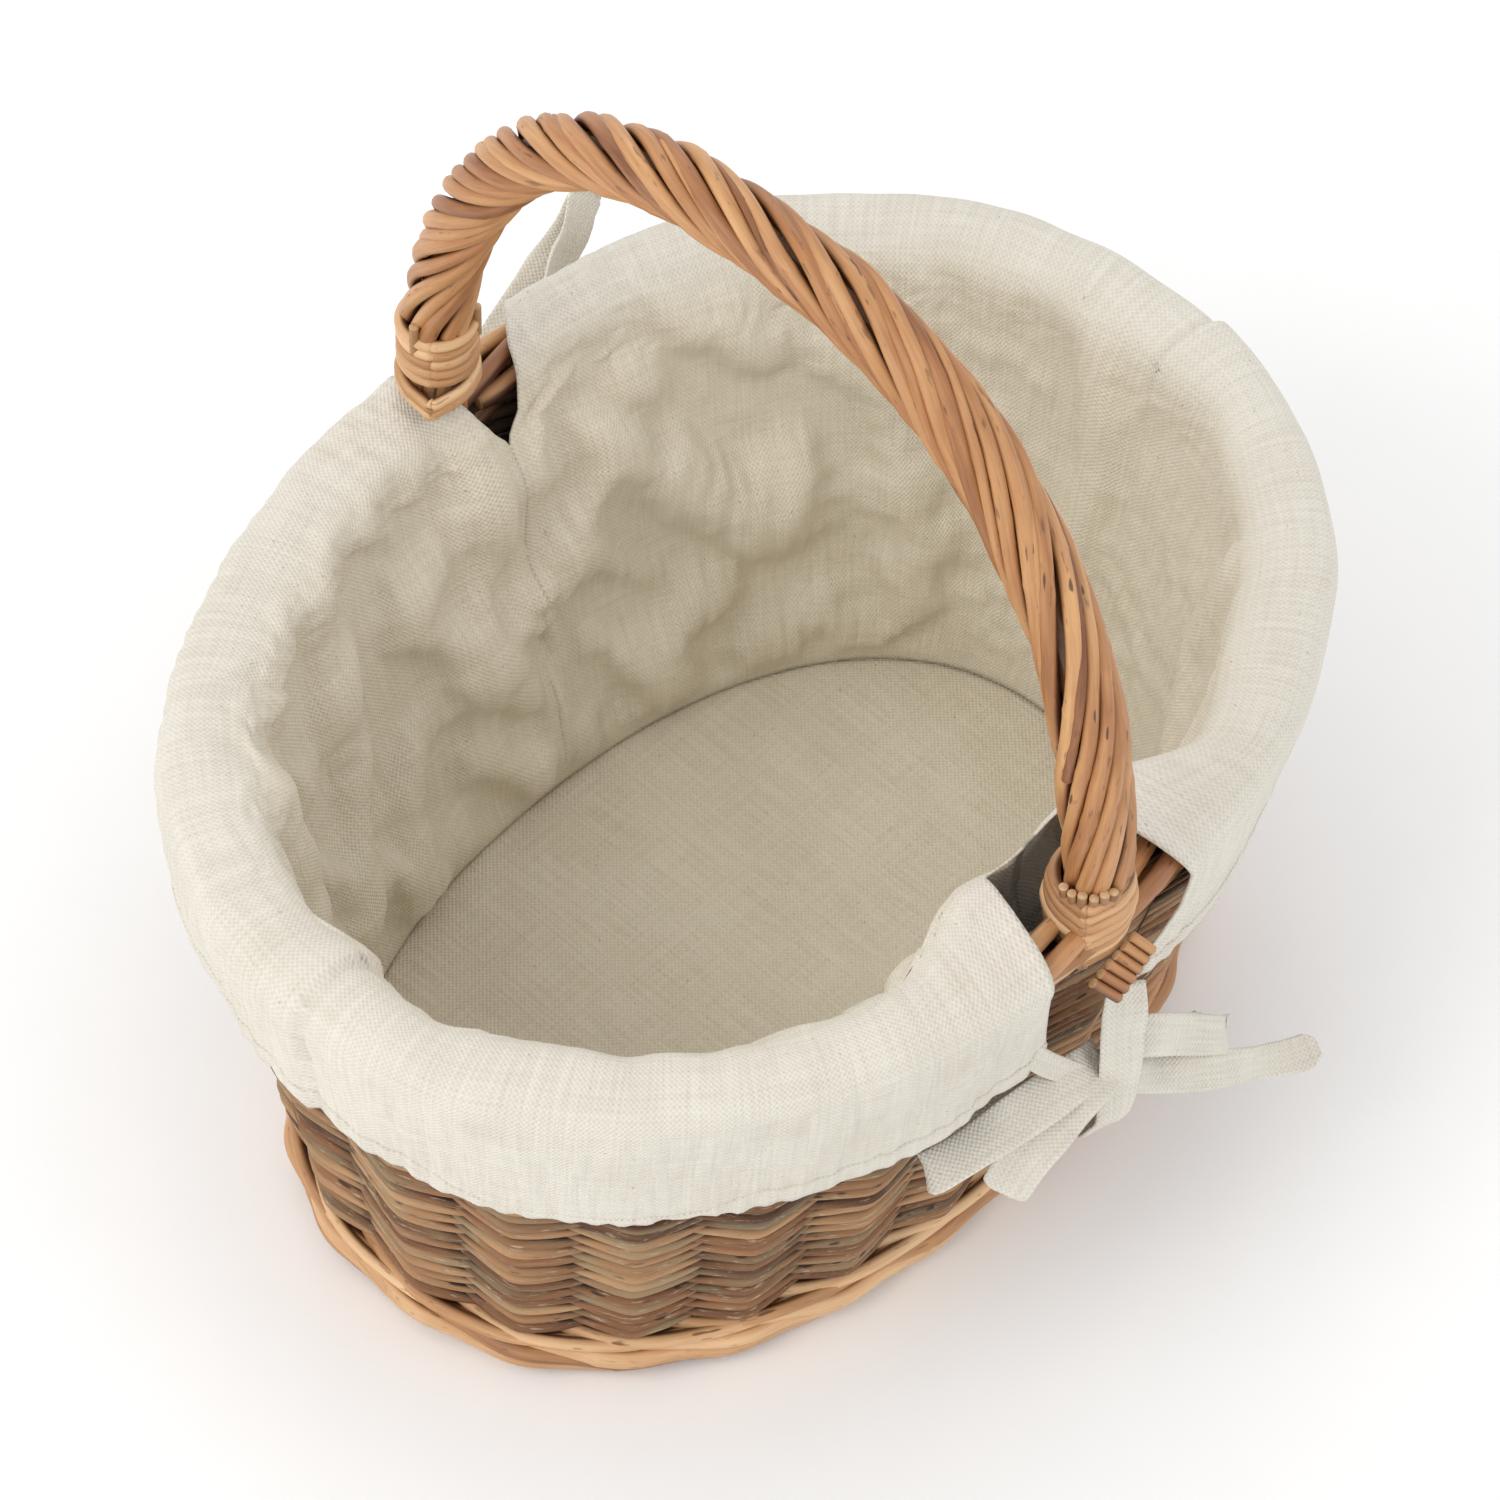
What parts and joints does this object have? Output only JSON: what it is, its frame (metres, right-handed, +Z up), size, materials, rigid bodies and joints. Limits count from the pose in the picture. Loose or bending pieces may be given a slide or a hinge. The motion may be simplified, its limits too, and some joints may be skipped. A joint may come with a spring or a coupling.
{
  "type": "lined bread basket",
  "caption": "Oval woven willow bread basket with a fixed twisted arch handle and a tied-in cotton canvas liner folded over the rim.",
  "frame": {"origin": "middle of the foot border's underside, on the surface the basket stands on", "axes": "+Z up; +X along the basket's length; the handle stands in the YZ plane, with the chevron collar and the front bow at -Y"},
  "size_m": [0.4492, 0.3984, 0.4462],
  "materials": {
    "willow_buff": "light buff willow, smooth and slightly glossy",
    "willow_brown": "steamed brown willow with its bark on, matt",
    "willow_handle": "honey willow, satin",
    "canvas": "natural cotton canvas, plain weave"
  },
  "bodies": {
    "root": {"base_sticks_long": "willow_buff", "base_sticks_cross": "willow_buff", "base_weave": "willow_buff", "foot_border": "willow_buff", "upsett_wale": "willow_buff", "stakes": "willow_handle", "side_weave_outer": "willow_brown", "side_weave_inner": "willow_brown", "top_wale": "willow_buff", "rim_border": "willow_handle", "handle_bow": "willow_handle", "handle_rods": "willow_handle", "collar_front": "willow_buff", "collar_back": "willow_buff", "collar_rod_ends": "willow_buff", "border_rod_ends": "willow_handle", "liner_floor": "canvas", "liner_wall_front": "canvas", "liner_wall_back": "canvas", "skirt_left": "canvas", "skirt_right": "canvas", "hem_left": "canvas", "hem_right": "canvas", "tie_front_left": "canvas", "tie_front_right": "canvas", "knot_front": "canvas", "tie_back_left": "canvas", "tie_back_right": "canvas", "knot_back": "canvas"}
  },
  "joints": []
}
